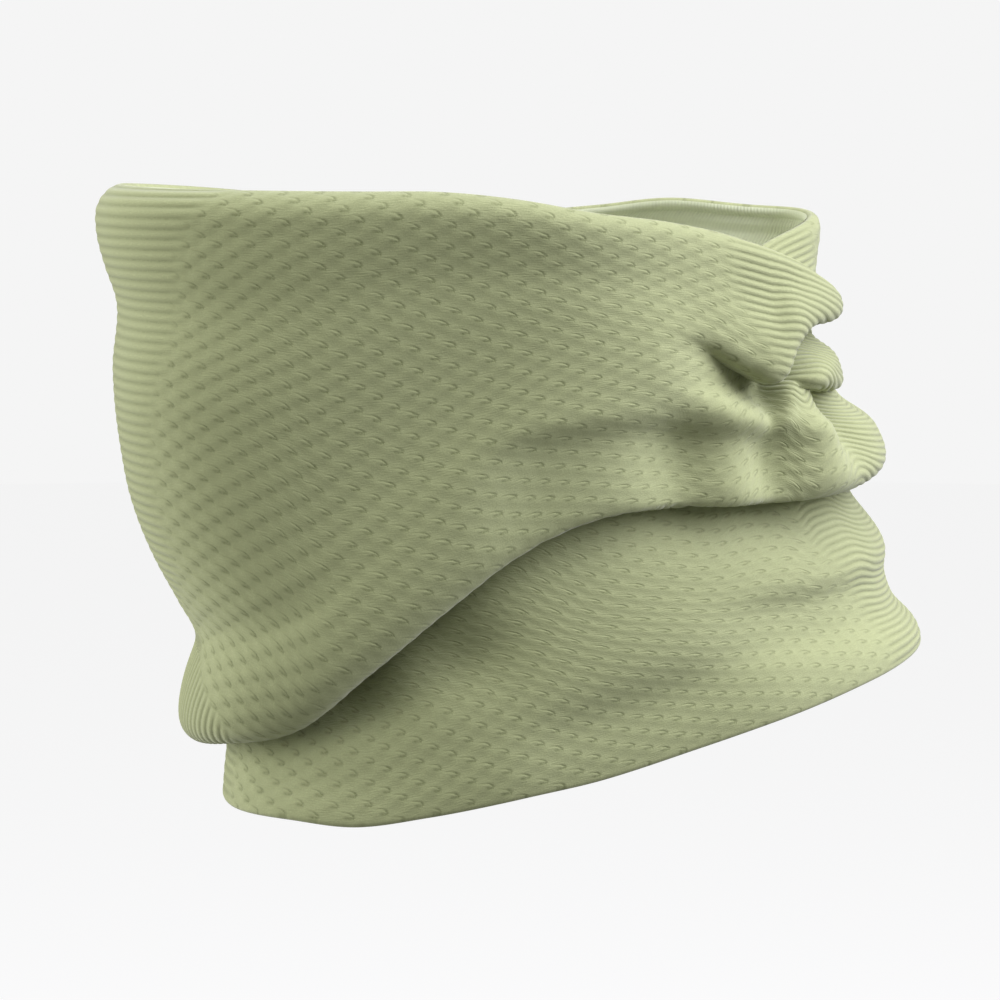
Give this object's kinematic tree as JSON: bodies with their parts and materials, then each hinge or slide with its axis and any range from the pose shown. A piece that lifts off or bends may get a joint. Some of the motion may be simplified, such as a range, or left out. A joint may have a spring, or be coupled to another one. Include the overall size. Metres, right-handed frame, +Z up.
{
  "type": "neck warmer",
  "caption": "Seamless knitted tube in its worn form: high at the chin, gathered at the nape, folded over itself in one slanting lip.",
  "frame": {"origin": "on the neck's axis inside the tube, half way up the hollow, where a wearer's neck or a stand's post carries it", "axes": "+Z up, -Y towards the wearer's chin, +Y towards the nape, +X towards the wearer's left"},
  "size_m": [0.141, 0.2052, 0.1525],
  "materials": {
    "sage_green_knit": "matt raised knit"
  },
  "bodies": {
    "root": {"knit_tube": "sage_green_knit"}
  },
  "joints": []
}
